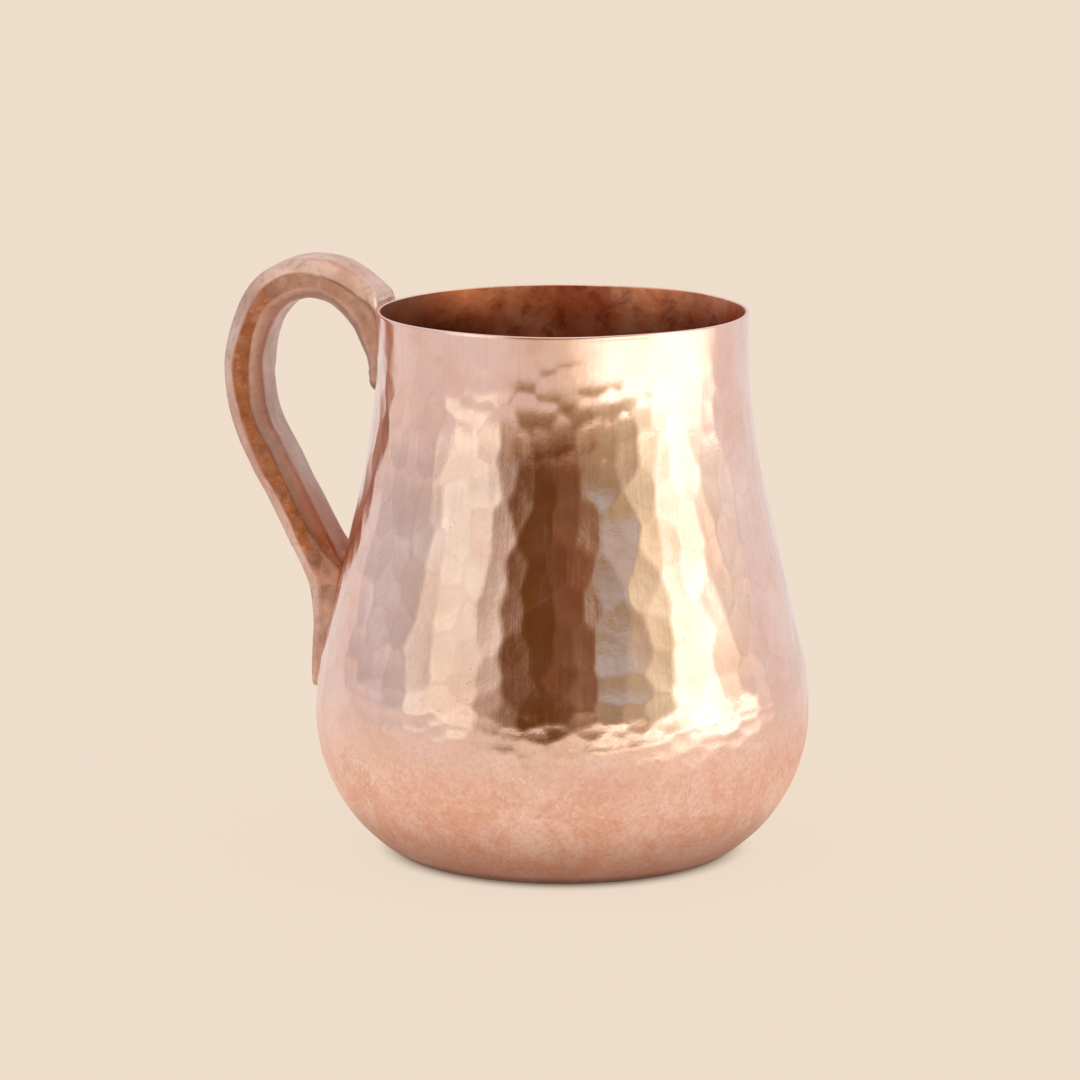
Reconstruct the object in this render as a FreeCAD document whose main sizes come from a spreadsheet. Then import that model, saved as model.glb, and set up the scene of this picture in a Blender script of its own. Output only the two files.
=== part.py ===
import FreeCAD, Part
import math
import os

import Sketcher

# A hand-hammered copper pitcher. The vessel is one raised shell, and the handle is one forged
# strap whose two ends are hammered thin and riveted to the wall.
#
# Frame: millimetres, +Z up. The origin is the middle of the flat base, on the vessel's axis.
# The handle stands in the XZ plane on the -X side.

SIZES = {
    # vessel: a flat base, a full belly and a long neck that flares a little at the mouth
    "vessel_height": 108.9,
    "belly_radius": 49.4,
    "belly_height": 28.1,
    "base_corner_radius": 6.3,
    "lower_belly_curve": 32.4,
    "upper_belly_curve": 52.9,
    "shoulder_slope": 13.2,
    "shoulder_length": 33.8,
    "neck_curve": 131.8,
    "wall": 0.8,
    "rim_round": 0.25,
    # handle: a strap with bevelled edges, from the rim over an arch and down to the belly
    "strap_width": 13.4,
    "strap_thickness": 8.4,
    "strap_bevel": 1.6,
    "arch_offset": 51.0,
    "arch_height": 101.2,
    "arch_curve": 17.0,
    "side_curve": 34.0,
    "side_start": 65.0,
    "leg_slope": 28.0,
    "throat_curve": 16.4,
    "throat_offset": 38.7,
    "upper_tip_height": 91.6,
    "foot_curve": 25.0,
    "foot_offset": 50.6,
    "foot_height": 44.0,
    "foot_lean": 2.6,
    "lower_tip_height": 30.4,
    "tip_round": 4.0,
    "tip_reach": 8.0,
    "belly_inside": 44.0,
    "joint_gap": 0.03,
    # rivets: two side by side at the neck, two in line on the belly
    "rivet_shank_radius": 1.2,
    "rivet_head_radius": 1.9,
    "rivet_head_height": 0.8,
    "rivet_gap": 0.01,
    "seat_gap": 0.1,
    "seat_depth": 6.0,
    "hole_reach": 5.0,
    "mouth_cut_rise": 4.0,
    "neck_rivet_height": 95.2,
    "neck_rivet_angle": 4.8,
    "neck_tongue_grip": 1.45,
    "belly_rivet_upper_height": 40.8,
    "belly_rivet_lower_height": 34.6,
    "belly_tongue_upper_grip": 2.6,
    "belly_tongue_lower_grip": 1.8,
}

doc = FreeCAD.newDocument("pitcher")
sheet = doc.addObject("Spreadsheet::Sheet", "Sizes")
for row, (alias, value) in enumerate(SIZES.items(), start=1):
    sheet.set(f"A{row}", alias)
    sheet.set(f"B{row}", str(value))
    sheet.setAlias(f"B{row}", alias)
doc.recompute()


def size(alias):
    """A driving dimension, read back from the sheet."""
    return float(sheet.get(alias))


def origin_plane(body, role):
    """One of a body's own origin planes."""
    return next(feature for feature in body.Origin.OriginFeatures if feature.Role == role)


def new_sketch(body, name):
    """A sketch on the body's XZ plane: its x runs along X and its y along Z."""
    sketch = body.newObject("Sketcher::SketchObject", name)
    sketch.AttachmentSupport = [(origin_plane(body, "XZ_Plane"), "")]
    sketch.MapMode = "FlatFace"
    return sketch


def point(x, z):
    return FreeCAD.Vector(x, z, 0)


def polar(centre, radius, degrees):
    """The point of a circle at an angle counted from +x towards +y of the sketch."""
    angle = math.radians(degrees)
    return centre + point(radius * math.cos(angle), radius * math.sin(angle))


def add_line(sketch, start, end):
    return sketch.addGeometry(Part.LineSegment(start, end), False)


def add_arc(sketch, centre, radius, low_degrees, high_degrees):
    """An arc from its low to its high angle, counter-clockwise, with its centre and radius."""
    circle = Part.Circle(centre, FreeCAD.Vector(0, 0, 1), radius)
    arc = Part.ArcOfCircle(circle, math.radians(low_degrees), math.radians(high_degrees))
    return sketch.addGeometry(arc, False)


def dimension(sketch, kind, places, name, expression):
    """A named sketch dimension that follows the sheet."""
    value = sketch.evalExpression(expression)
    value = float(getattr(value, "Value", value))
    if kind == "Angle":
        value = math.radians(value)
    index = sketch.addConstraint(Sketcher.Constraint(kind, *places, value))
    sketch.renameConstraint(index, name)
    sketch.setExpression(f"Constraints.{name}", expression)


# how a sketch names the points of a piece of geometry, its own axes and its origin
START, END, CENTRE = 1, 2, 3
X_AXIS, Y_AXIS = -1, -2
ORIGIN = (X_AXIS, START)


def tie(sketch, kind, *places):
    sketch.addConstraint(Sketcher.Constraint(kind, *places))


def vessel_outline(sketch, inset=0.0, rise=0.0):
    """Closed outline of the vessel's outer form, from its axis out to a surface set in by `inset`
    (a negative inset lies outside the vessel), with its mouth `rise` above the rim."""
    height = size("vessel_height") + rise
    lower_radius = size("lower_belly_curve") - inset
    upper_radius = size("upper_belly_curve") - inset
    corner_radius = size("base_corner_radius") - inset
    neck_radius = size("neck_curve") + inset
    slope = size("shoulder_slope")
    lower_centre = point(size("belly_radius") - size("lower_belly_curve"), size("belly_height"))
    upper_centre = point(size("belly_radius") - size("upper_belly_curve"), size("belly_height"))

    # the corner's arc rolls inside the lower belly arc and touches the base
    centre_distance = size("lower_belly_curve") - size("base_corner_radius")
    drop = size("belly_height") - size("base_corner_radius")
    turn = math.degrees(math.asin(drop / centre_distance))
    corner_centre = polar(lower_centre, centre_distance, -turn)
    shoulder_start = polar(upper_centre, upper_radius, slope)
    shoulder_end = polar(shoulder_start, size("shoulder_length"), 90 + slope)
    neck_centre = polar(shoulder_end, neck_radius, slope)
    rim_turn = math.degrees(math.asin((height - neck_centre.y) / neck_radius))
    rim = polar(neck_centre, neck_radius, 180 - rim_turn)
    base_edge = polar(corner_centre, corner_radius, -90)

    base = add_line(sketch, point(0, base_edge.y), base_edge)
    corner = add_arc(sketch, corner_centre, corner_radius, -90, -turn)
    lower_belly = add_arc(sketch, lower_centre, lower_radius, -turn, 0)
    upper_belly = add_arc(sketch, upper_centre, upper_radius, 0, slope)
    shoulder = add_line(sketch, shoulder_start, shoulder_end)
    neck = add_arc(sketch, neck_centre, neck_radius, 180 - rim_turn, 180 + slope)
    mouth = add_line(sketch, rim, point(0, height))
    axis = add_line(sketch, point(0, height), point(0, base_edge.y))

    tie(sketch, "PointOnObject", base, START, Y_AXIS)
    tie(sketch, "Tangent", base, END, corner, START)
    tie(sketch, "Tangent", corner, END, lower_belly, START)
    tie(sketch, "Tangent", lower_belly, END, upper_belly, START)
    tie(sketch, "Tangent", upper_belly, END, shoulder, START)
    tie(sketch, "Tangent", shoulder, END, neck, END)
    tie(sketch, "Coincident", neck, START, mouth, START)
    tie(sketch, "Coincident", mouth, END, axis, START)
    tie(sketch, "Coincident", axis, END, base, START)
    tie(sketch, "Horizontal", base)
    tie(sketch, "Horizontal", mouth)
    tie(sketch, "PointOnObject", axis, START, Y_AXIS)
    offset = f"{inset} mm"
    dimension(sketch, "DistanceX", (*ORIGIN, lower_belly, CENTRE), "lower_centre_x",
              "Sizes.belly_radius - Sizes.lower_belly_curve")
    dimension(sketch, "DistanceY", (*ORIGIN, lower_belly, CENTRE), "lower_centre_z",
              "Sizes.belly_height")
    dimension(sketch, "DistanceX", (upper_belly, CENTRE, *ORIGIN), "upper_centre_x",
              "Sizes.upper_belly_curve - Sizes.belly_radius")
    dimension(sketch, "DistanceY", (*ORIGIN, upper_belly, CENTRE), "upper_centre_z",
              "Sizes.belly_height")
    dimension(sketch, "Radius", (lower_belly,), "lower_radius",
              f"Sizes.lower_belly_curve * 1 mm - {offset}")
    dimension(sketch, "Radius", (corner,), "corner_radius",
              f"Sizes.base_corner_radius * 1 mm - {offset}")
    dimension(sketch, "Radius", (neck,), "neck_radius", f"Sizes.neck_curve * 1 mm + {offset}")
    dimension(sketch, "Distance", (shoulder,), "shoulder_length", "Sizes.shoulder_length")
    dimension(sketch, "Angle", (Y_AXIS, START, shoulder, START), "slope", "Sizes.shoulder_slope * 1 deg")
    dimension(sketch, "DistanceY", (*ORIGIN, mouth, START), "height",
              f"Sizes.vessel_height * 1 mm + {rise} mm")
    # the corner's arc would still slide along the base and the belly, so its height is stated too
    dimension(sketch, "DistanceY", (*ORIGIN, corner, CENTRE), "corner_height", "Sizes.base_corner_radius")


def wall_surface(height):
    """Radius of the vessel's outer surface at a height above the belly's widest ring, and the angle
    by which its outward normal rises above the horizontal, in degrees."""
    upper_centre = point(size("belly_radius") - size("upper_belly_curve"), size("belly_height"))
    slope = size("shoulder_slope")
    shoulder_start = polar(upper_centre, size("upper_belly_curve"), slope)
    shoulder_end = polar(shoulder_start, size("shoulder_length"), 90 + slope)
    if height < shoulder_start.y:
        rise = math.degrees(math.asin((height - upper_centre.y) / size("upper_belly_curve")))
        return polar(upper_centre, size("upper_belly_curve"), rise).x, rise
    if height < shoulder_end.y:
        return shoulder_start.x - (height - shoulder_start.y) * math.tan(math.radians(slope)), slope
    neck_centre = polar(shoulder_end, size("neck_curve"), slope)
    rise = math.degrees(math.asin((neck_centre.y - height) / size("neck_curve")))
    return polar(neck_centre, size("neck_curve"), 180 + rise).x, rise


def revolve(body, sketch, name, kind="PartDesign::Revolution"):
    """Turn a sketch a full circle round the body's Z axis."""
    feature = body.newObject(kind, name)
    feature.Profile = sketch
    feature.ReferenceAxis = (sketch, ["V_Axis"])
    feature.Angle = 360
    doc.recompute()
    return feature


def edges_where(shape, test):
    """Names of the shape's edges for which the test holds."""
    return [f"Edge{number}" for number, edge in enumerate(shape.Edges, start=1) if test(edge)]


def make_vessel():
    """The raised shell: the outer form turned round the axis, then hollowed from the mouth."""
    body = doc.addObject("PartDesign::Body", "vessel_shell")
    outline = new_sketch(body, "vessel_outline")
    vessel_outline(outline)
    form = revolve(body, outline, "vessel_form")

    mouth = max(range(len(form.Shape.Faces)), key=lambda index: form.Shape.Faces[index].CenterOfMass.z)
    hollow = body.newObject("PartDesign::Thickness", "vessel_hollow")
    hollow.Base = (form, [f"Face{mouth + 1}"])
    hollow.setExpression("Value", "Sizes.wall")
    hollow.Reversed = True
    hollow.Join = 1
    doc.recompute()

    def on_rim(edge):
        return edge.BoundBox.ZMin > size("vessel_height") - size("rim_round") and edge.Closed

    rim = body.newObject("PartDesign::Fillet", "rim_edge")
    rim.Base = (hollow, edges_where(hollow.Shape, on_rim))
    rim.setExpression("Radius", "Sizes.rim_round")
    doc.recompute()
    return body


def strap_outline(sketch):
    """Side view of the strap, closed through the space that the vessel takes out of it. The outer
    edge runs from the rim over the arch, down the side, in along the leg and down the belly; the
    inner edge runs back beside it, one strap thickness away, and down the throat to the neck."""
    # angles are counted from the sketch's +x, so 180 degrees points away from the vessel
    thickness = size("strap_thickness")
    top = 90 + size("side_start")
    bottom = 180 + size("leg_slope")
    arch = point(-size("arch_offset"), size("arch_height"))
    side = polar(arch, size("side_curve") - size("arch_curve"), top - 180)
    throat_x = -size("throat_offset") - size("throat_curve")
    throat_turn = math.degrees(math.acos((arch.x - throat_x)
                                         / (size("throat_curve") - size("arch_curve") + thickness)))
    throat = polar(arch, size("throat_curve") - size("arch_curve") + thickness, 180 + throat_turn)
    mouth_start = polar(arch, size("arch_curve"), 0)
    leg_top = polar(side, size("side_curve"), bottom)
    inner_leg_top = polar(side, size("side_curve") - thickness, bottom)
    along_leg = math.tan(math.radians(size("leg_slope")))
    # the leg's outer line touches the foot's arc at the same angle as it leaves the side's arc
    foot_y = size("foot_height")
    touch = polar(point(0, 0), size("foot_curve"), size("leg_slope"))
    leg_end = point(leg_top.x + (leg_top.y - foot_y - touch.y) * along_leg, foot_y + touch.y)
    foot = leg_end - touch
    foot_end = polar(foot, size("foot_curve"), -size("foot_lean"))
    tip_y = size("lower_tip_height")
    tip = point(foot_end.x - (foot_end.y - tip_y) * math.tan(math.radians(size("foot_lean"))), tip_y)
    belly_x = -size("belly_inside")
    inner_leg_end = point(belly_x, inner_leg_top.y - (belly_x - inner_leg_top.x) / along_leg)
    throat_end = point(-size("throat_offset"), size("upper_tip_height"))
    neck_corner = point(mouth_start.x, size("upper_tip_height"))

    in_neck = add_line(sketch, neck_corner, mouth_start)
    outer_arch = add_arc(sketch, arch, size("arch_curve"), 0, top)
    outer_side = add_arc(sketch, side, size("side_curve"), top, bottom)
    outer_leg = add_line(sketch, leg_top, leg_end)
    foot_arc = add_arc(sketch, foot, size("foot_curve"), -size("foot_lean"), size("leg_slope"))
    foot_line = add_line(sketch, foot_end, tip)
    tip_line = add_line(sketch, tip, point(belly_x, tip_y))
    in_belly = add_line(sketch, point(belly_x, tip_y), inner_leg_end)
    inner_leg = add_line(sketch, inner_leg_end, inner_leg_top)
    inner_side = add_arc(sketch, side, size("side_curve") - thickness, top, bottom)
    inner_arch = add_arc(sketch, arch, size("arch_curve") - thickness, throat_turn, top)
    throat_arc = add_arc(sketch, throat, size("throat_curve"), 0, throat_turn)
    throat_line = add_line(sketch, polar(throat, size("throat_curve"), 0), throat_end)
    close_line = add_line(sketch, throat_end, neck_corner)

    tie(sketch, "Tangent", in_neck, END, outer_arch, START)
    tie(sketch, "Tangent", outer_arch, END, outer_side, START)
    tie(sketch, "Tangent", outer_side, END, outer_leg, START)
    tie(sketch, "Tangent", outer_leg, END, foot_arc, END)
    tie(sketch, "Tangent", foot_arc, START, foot_line, START)
    tie(sketch, "Coincident", foot_line, END, tip_line, START)
    tie(sketch, "Coincident", tip_line, END, in_belly, START)
    tie(sketch, "Coincident", in_belly, END, inner_leg, START)
    tie(sketch, "Tangent", inner_leg, END, inner_side, END)
    tie(sketch, "Tangent", inner_side, START, inner_arch, END)
    tie(sketch, "Tangent", inner_arch, START, throat_arc, END)
    tie(sketch, "Tangent", throat_arc, START, throat_line, START)
    tie(sketch, "Coincident", throat_line, END, close_line, START)
    tie(sketch, "Coincident", close_line, END, in_neck, START)
    tie(sketch, "Coincident", outer_arch, CENTRE, inner_arch, CENTRE)
    tie(sketch, "Coincident", outer_side, CENTRE, inner_side, CENTRE)
    for upright in (in_neck, in_belly, throat_line):
        tie(sketch, "Vertical", upright)
    for level in (tip_line, close_line):
        tie(sketch, "Horizontal", level)

    to_origin_x = {
        "arch_x": (outer_arch, CENTRE, "Sizes.arch_offset"),
        "side_x": (outer_side, CENTRE, "Sizes.arch_offset * 1 mm - (Sizes.side_curve - Sizes.arch_curve)"
                   " * 1 mm * sin(Sizes.side_start * 1 deg)"),
        "throat_x": (throat_line, END, "Sizes.throat_offset"),
        "belly_x": (in_belly, START, "Sizes.belly_inside"),
    }
    for name, (geometry, place, expression) in to_origin_x.items():
        dimension(sketch, "DistanceX", (geometry, place, *ORIGIN), name, expression)
    from_origin_z = {
        "arch_z": (outer_arch, CENTRE, "Sizes.arch_height"),
        "foot_z": (foot_arc, CENTRE, "Sizes.foot_height"),
        "upper_tip_z": (throat_line, END, "Sizes.upper_tip_height"),
        "lower_tip_z": (foot_line, END, "Sizes.lower_tip_height"),
    }
    for name, (geometry, place, expression) in from_origin_z.items():
        dimension(sketch, "DistanceY", (*ORIGIN, geometry, place), name, expression)
    radii = {
        "arch_outer": (outer_arch, "Sizes.arch_curve"),
        "arch_inner": (inner_arch, "Sizes.arch_curve - Sizes.strap_thickness"),
        "side_outer": (outer_side, "Sizes.side_curve"),
        "foot_radius": (foot_arc, "Sizes.foot_curve"),
        "throat_radius": (throat_arc, "Sizes.throat_curve"),
    }
    for name, (geometry, expression) in radii.items():
        dimension(sketch, "Radius", (geometry,), name, expression)
    dimension(sketch, "Angle", (Y_AXIS, START, outer_leg, START), "leg_angle",
              "180 deg + Sizes.leg_slope * 1 deg")
    dimension(sketch, "Angle", (Y_AXIS, START, foot_line, START), "foot_angle",
              "180 deg - Sizes.foot_lean * 1 deg")
    tie(sketch, "Parallel", outer_leg, inner_leg)


def round_tip(body, name, offset):
    """Cut the two corners off a tongue's end, seen from the handle's side: a pocket that reaches only
    as far as the tongue, each corner piece bounded by a quarter circle."""
    sketch = body.newObject("Sketcher::SketchObject", f"{name}_corners")
    sketch.AttachmentSupport = [(origin_plane(body, "YZ_Plane"), "")]
    sketch.MapMode = "FlatFace"
    sketch.setExpression("AttachmentOffset.Base.z", f"-Sizes.{offset} * 1 mm")
    radius = size("tip_round")
    tip = size(f"{name}_height")
    for side in (-1, 1):
        edge = side * size("strap_width") / 2
        middle = point(edge - side * radius, tip + radius)
        low_end = point(middle.x, tip)
        high_end = point(edge, middle.y)
        outside = [high_end, point(edge + side, middle.y), point(edge + side, tip - 1),
                   point(middle.x, tip - 1), low_end]
        lines = [add_line(sketch, start, end) for start, end in zip(outside, outside[1:])]
        start_angle = -90 if side > 0 else 180
        arc = add_arc(sketch, middle, radius, start_angle, start_angle + 90)
        for before, after in zip(lines, lines[1:]):
            tie(sketch, "Coincident", before, END, after, START)
        for upright in (lines[1], lines[3]):
            tie(sketch, "Vertical", upright)
        for level in (lines[0], lines[2]):
            tie(sketch, "Horizontal", level)
        low_place, high_place = (START, END) if side > 0 else (END, START)
        tie(sketch, "Coincident", lines[3], END, arc, low_place)
        tie(sketch, "Coincident", lines[0], START, arc, high_place)
        label = "left" if side < 0 else "right"
        dimension(sketch, "Radius", (arc,), f"{label}_round", "Sizes.tip_round")
    corners = body.newObject("PartDesign::Pocket", f"{name}_round")
    corners.Profile = sketch
    corners.SideType = "Symmetric"
    corners.setExpression("Length", "Sizes.tip_reach")
    doc.recompute()


def make_strap():
    """The forged strap: the side view given its width, its ends rounded, its long edges bevelled,
    and the vessel's form cut out of both ends so that they bed on the wall."""
    body = doc.addObject("PartDesign::Body", "handle_strap")
    side_view = new_sketch(body, "strap_side_view")
    strap_outline(side_view)
    blank = body.newObject("PartDesign::Pad", "strap_blank")
    blank.Profile = side_view
    blank.SideType = "Symmetric"
    blank.setExpression("Length", "Sizes.strap_width")
    doc.recompute()

    half_width = size("strap_width") / 2

    def is_long_edge(edge):
        box = edge.BoundBox
        on_side = abs(abs(edge.CenterOfMass.y) - half_width) < 0.01 and box.YLength < 0.01
        in_belly = box.XLength < 0.01 and abs(box.XMax + size("belly_inside")) < 0.01
        return on_side and not in_belly and box.ZLength > 0.01

    bevels = body.newObject("PartDesign::Chamfer", "strap_bevels")
    bevels.Base = (blank, edges_where(blank.Shape, is_long_edge))
    bevels.setExpression("Size", "Sizes.strap_bevel")
    doc.recompute()

    vessel_side = new_sketch(body, "vessel_side_of_joint")
    vessel_outline(vessel_side, -size("joint_gap"), size("mouth_cut_rise"))
    revolve(body, vessel_side, "bedding", "PartDesign::Groove")
    round_tip(body, "upper_tip", "throat_offset")
    round_tip(body, "lower_tip", "foot_offset")
    return body


def wall_placement(height, around):
    """A place on the vessel's outer surface at the handle's side, `around` degrees off the handle's
    plane, with its Z along the surface's outward normal."""
    radius, rise = wall_surface(height)
    turn = math.radians(180 + around)
    base = FreeCAD.Vector(radius * math.cos(turn), radius * math.sin(turn), height)
    outward = FreeCAD.Rotation(FreeCAD.Vector(0, 0, 1), 180 + around)
    tilt = FreeCAD.Rotation(FreeCAD.Vector(0, 1, 0), 90 - rise)
    return FreeCAD.Placement(base, outward.multiply(tilt))


def dome(sketch, face, crown, radius):
    """A low dome in a rivet's section: its flat face at `face`, its crown at `crown` on the axis."""
    height = abs(crown - face)
    curve = (radius ** 2 + height ** 2) / (2 * height)
    above = crown > face
    centre = point(0, crown - curve if above else crown + curve)
    lean = math.degrees(math.asin(radius / curve))
    if above:
        return add_arc(sketch, centre, curve, 90 - lean, 90)
    return add_arc(sketch, centre, curve, -90, -90 + lean)


def make_rivet(name, placement, grip):
    """A rivet along its own Z: a domed head inside the vessel, a shank through the wall and the
    tongue, and a hammered head outside. Its origin lies on the vessel's outer surface."""
    body = doc.addObject("PartDesign::Body", name)
    section = new_sketch(body, f"{name}_section")
    inner_face = -size("wall") - size("seat_gap")
    outer_face = size(grip)
    shank = size("rivet_shank_radius")
    head = size("rivet_head_radius")
    rise = size("rivet_head_height")
    inner_dome = dome(section, inner_face, inner_face - rise, head)
    inner_under = add_line(section, point(head, inner_face), point(shank, inner_face))
    side = add_line(section, point(shank, inner_face), point(shank, outer_face))
    outer_under = add_line(section, point(shank, outer_face), point(head, outer_face))
    outer_dome = dome(section, outer_face, outer_face + rise, head)
    axis = add_line(section, point(0, outer_face + rise), point(0, inner_face - rise))
    ring = [(inner_dome, END), (inner_under, START), (inner_under, END), (side, START), (side, END),
            (outer_under, START), (outer_under, END), (outer_dome, START), (outer_dome, END),
            (axis, START), (axis, END), (inner_dome, START)]
    for before, after in zip(ring[0::2], ring[1::2]):
        tie(section, "Coincident", *before, *after)
    for level in (inner_under, outer_under):
        tie(section, "Horizontal", level)
    tie(section, "Vertical", side)
    tie(section, "PointOnObject", axis, START, Y_AXIS)
    tie(section, "PointOnObject", axis, END, Y_AXIS)
    for arc in (inner_dome, outer_dome):
        tie(section, "PointOnObject", arc, CENTRE, Y_AXIS)
    dimension(section, "DistanceX", (*ORIGIN, side, START), "shank", "Sizes.rivet_shank_radius")
    dimension(section, "DistanceX", (*ORIGIN, inner_under, START), "inner_head", "Sizes.rivet_head_radius")
    dimension(section, "DistanceX", (*ORIGIN, outer_under, END), "outer_head", "Sizes.rivet_head_radius")
    dimension(section, "DistanceY", (side, START, *ORIGIN), "inner_face", "Sizes.wall + Sizes.seat_gap")
    dimension(section, "DistanceY", (*ORIGIN, side, END), "outer_face", f"Sizes.{grip}")
    dimension(section, "DistanceY", (axis, END, side, START), "inner_crown", "Sizes.rivet_head_height")
    dimension(section, "DistanceY", (side, END, axis, START), "outer_crown", "Sizes.rivet_head_height")
    revolve(body, section, f"{name}_form")
    body.Placement = placement
    return body


def make_bore(name, placement, low, radius, length):
    """A plain cylinder used as a cutter, along the Z of a place on the wall. `radius` and `length`
    are expressions in the sheet's names."""
    bore = doc.addObject("Part::Cylinder", name)
    bore.setExpression("Radius", radius)
    bore.setExpression("Height", length)
    start = FreeCAD.Placement(FreeCAD.Vector(0, 0, low), FreeCAD.Rotation())
    bore.Placement = placement.multiply(start)
    return bore


def join_cutters(name, cutters):
    group = doc.addObject("Part::MultiFuse", name)
    group.Shapes = cutters
    return group


def cut(name, base, tool):
    result = doc.addObject("Part::Cut", name)
    result.Base = base
    result.Tool = tool
    result.Refine = True
    return result


vessel_shell = make_vessel()
handle_strap = make_strap()

# name: (height, degrees off the handle's plane, grip of the tongue under its outer head)
RIVETS = {
    "rivet_neck_front": ("neck_rivet_height", size("neck_rivet_angle"), "neck_tongue_grip"),
    "rivet_neck_back": ("neck_rivet_height", -size("neck_rivet_angle"), "neck_tongue_grip"),
    "rivet_belly_upper": ("belly_rivet_upper_height", 0.0, "belly_tongue_upper_grip"),
    "rivet_belly_lower": ("belly_rivet_lower_height", 0.0, "belly_tongue_lower_grip"),
}
rivets = []
holes = []
seats = []
for rivet_name, (height_alias, around, grip_alias) in RIVETS.items():
    place = wall_placement(size(height_alias), around)
    rivets.append(make_rivet(rivet_name, place, grip_alias))
    hole = "Sizes.rivet_shank_radius + Sizes.rivet_gap"
    seat = "Sizes.rivet_head_radius + Sizes.seat_gap"
    hole_start = -size("hole_reach")
    holes.append(make_bore(f"{rivet_name}_hole", place, hole_start, hole, "2 * Sizes.hole_reach"))
    seats.append(make_bore(f"{rivet_name}_seat", place, size(grip_alias), seat, "Sizes.seat_depth"))

rivet_holes = join_cutters("rivet_holes", holes)
handle_cutters = join_cutters("handle_cutters", holes + seats)
vessel = cut("vessel", vessel_shell, rivet_holes)
handle = cut("handle", handle_strap, handle_cutters)
doc.recompute()

parts = [vessel, handle, *rivets]
faults = [item.Name for item in doc.Objects if {"Invalid", "Error"} & set(item.State)]
if faults:
    raise RuntimeError(f"these objects failed: {faults}")
os.makedirs("parts", exist_ok=True)
for item in parts:
    item.Label = item.Name
    shape = item.Shape
    if shape.isNull() or not shape.isValid() or len(shape.Solids) != 1:
        raise RuntimeError(f"{item.Name} is not one valid solid")
    shape.exportStep(f"parts/{item.Label}.step")
    print(f"{item.Label}: {shape.Volume:.1f} mm3")
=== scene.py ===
import math
import random

import bpy
import numpy as np
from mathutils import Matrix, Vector


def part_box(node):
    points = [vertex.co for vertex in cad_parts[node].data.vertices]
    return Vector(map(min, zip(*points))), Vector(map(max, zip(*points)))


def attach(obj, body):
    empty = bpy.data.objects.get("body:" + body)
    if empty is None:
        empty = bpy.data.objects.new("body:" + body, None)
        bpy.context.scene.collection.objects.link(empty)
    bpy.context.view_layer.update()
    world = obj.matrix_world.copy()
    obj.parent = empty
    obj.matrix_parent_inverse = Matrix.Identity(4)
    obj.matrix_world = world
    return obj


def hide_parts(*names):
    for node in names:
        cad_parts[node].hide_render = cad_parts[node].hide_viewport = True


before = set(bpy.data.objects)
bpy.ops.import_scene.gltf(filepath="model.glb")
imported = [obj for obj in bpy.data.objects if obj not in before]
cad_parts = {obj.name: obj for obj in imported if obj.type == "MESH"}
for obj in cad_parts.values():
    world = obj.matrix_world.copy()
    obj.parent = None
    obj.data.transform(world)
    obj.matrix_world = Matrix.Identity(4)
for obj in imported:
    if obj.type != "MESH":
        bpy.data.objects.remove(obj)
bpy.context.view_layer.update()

MM = 0.001
TURN = 2 * math.pi

# ---------------------------------------------------------------- the vessel's form, in millimetres
vessel_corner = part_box("vessel")[1]
RIM = round(vessel_corner[2] / MM, 2)
BELLY_RADIUS = round(vessel_corner[0] / MM, 2)
BELLY_HEIGHT = 28.1
CORNER_CURVE = 6.3
LOWER_CURVE = 32.4
UPPER_CURVE = 52.9
SHOULDER_SLOPE = 13.2
SHOULDER_LENGTH = 33.8
NECK_CURVE = 131.8
NECK_END = 177.55  # the angle at which the neck's arc stops, under the lip
WALL = 0.8
LIP_ROUND = 0.27
LIP_OUT, LIP_IN = 36.66, 36.42  # radii of the middles of the lip's two rounds
HANDLE_SIDE = math.pi


def arc_points(centre, radius, first, last, count):
    """Points of an arc, angles in degrees counted from +r towards +z."""
    angles = np.radians(np.linspace(first, last, count))
    return np.stack([centre[0] + radius * np.cos(angles), centre[1] + radius * np.sin(angles)], 1)


def polar(centre, radius, degrees):
    """One point of an arc."""
    return arc_points(centre, radius, degrees, degrees, 1)[0]


def profile(inset):
    """The vessel's half section from the base's edge up to the mouth, set in by `inset`: arcs that
    run on into each other, as in the CAD model."""
    lower_centre = (BELLY_RADIUS - LOWER_CURVE, BELLY_HEIGHT)
    upper_centre = (BELLY_RADIUS - UPPER_CURVE, BELLY_HEIGHT)
    corner_away = LOWER_CURVE - CORNER_CURVE
    corner_turn = math.degrees(math.asin((BELLY_HEIGHT - CORNER_CURVE) / corner_away))
    corner_centre = polar(lower_centre, corner_away, -corner_turn)
    shoulder_start = polar(upper_centre, UPPER_CURVE, SHOULDER_SLOPE)
    shoulder_end = polar(shoulder_start, SHOULDER_LENGTH, 90 + SHOULDER_SLOPE)
    neck_centre = polar(shoulder_end, NECK_CURVE, SHOULDER_SLOPE)
    corner = arc_points(corner_centre, CORNER_CURVE - inset, -90, -corner_turn, 60)
    lower = arc_points(lower_centre, LOWER_CURVE - inset, -corner_turn, 0, 200)
    upper = arc_points(upper_centre, UPPER_CURVE - inset, 0, SHOULDER_SLOPE, 80)
    neck = arc_points(neck_centre, NECK_CURVE + inset, 180 + SHOULDER_SLOPE, NECK_END, 160)
    return np.concatenate([corner, lower[1:], upper[1:], neck])


def along(points, count=None, stations=None):
    """Resample a polyline evenly, or at given stations from 0 to 1 of its length."""
    steps = np.hypot(*np.diff(points, axis=0).T)
    length = np.concatenate([[0], np.cumsum(steps)])
    if stations is None:
        stations = np.linspace(0, 1, count)
    at = np.asarray(stations) * length[-1]
    return np.stack([np.interp(at, length, points[:, i]) for i in range(2)], 1)


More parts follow.
